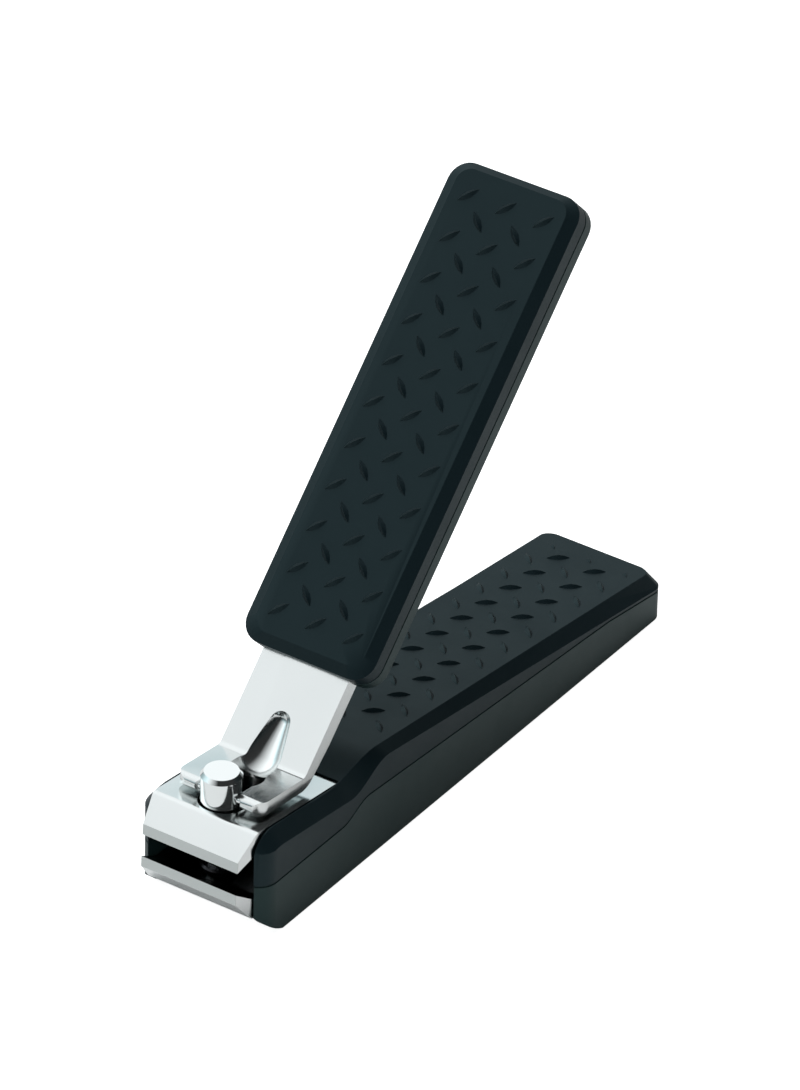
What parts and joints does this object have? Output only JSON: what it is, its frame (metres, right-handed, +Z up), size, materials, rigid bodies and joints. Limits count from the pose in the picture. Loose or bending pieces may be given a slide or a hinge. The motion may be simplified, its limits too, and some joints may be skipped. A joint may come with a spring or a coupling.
{
  "type": "nail clipper",
  "caption": "Lever nail clipper: steel jaws in a black plastic handle body, with a swivelling steel lever under a ribbed black thumb grip.",
  "frame": {"origin": "on the post's axis, in the plane of the body's flat underside", "axes": "+Z up, along the post; +Y from the jaws back along the handle body; +X to the side, along the lever's pivot pin; the cutting edges face -Y"},
  "size_m": [0.0172, 0.0832, 0.0653],
  "materials": {
    "plastic": "matte soft-touch black",
    "satin_steel": "fine brushed satin",
    "polished_steel": "polished",
    "dark_steel": "darkened"
  },
  "bodies": {
    "housing": {"lower_shell": "plastic", "upper_shell": "plastic", "lower_jaw": "satin_steel", "tail_rivet": "satin_steel"},
    "jaw": {"upper_jaw": "satin_steel"},
    "post": {"post": "polished_steel", "post_collar": "dark_steel"},
    "pin": {"pivot_pin": "satin_steel"},
    "lever": {"lever_arm": "satin_steel", "grip_top": "plastic", "grip_bottom": "plastic", "grip_rivet": "satin_steel"}
  },
  "joints": [
    {"name": "jaw_close", "type": "hinge", "parent": "housing", "child": "jaw", "pos_m": [0, 0.053, 0.0046], "axis": [1, 0, 0], "range_deg": [0, 2.64]},
    {"name": "post_spin", "type": "hinge", "parent": "housing", "child": "post", "pos_m": [0, 0, 0], "axis": [0, 0, 1], "range_deg": [0, 180]},
    {"name": "lever_flip", "type": "hinge", "parent": "post", "child": "pin", "pos_m": [0, 0, 0.01455], "axis": [1, 0, 0], "range_deg": [0, 142]},
    {"name": "lever_press", "type": "hinge", "parent": "pin", "child": "lever", "pos_m": [0, 0, 0.01455], "axis": [1, 0, 0], "range_deg": [-19.5, 0]}
  ],
  "couplings": [
    {"joint": "lever_flip", "follows": "post_spin", "ratio": 0.78888},
    {"joint": "lever_press", "follows": "jaw_close", "ratio": -7.386}
  ]
}
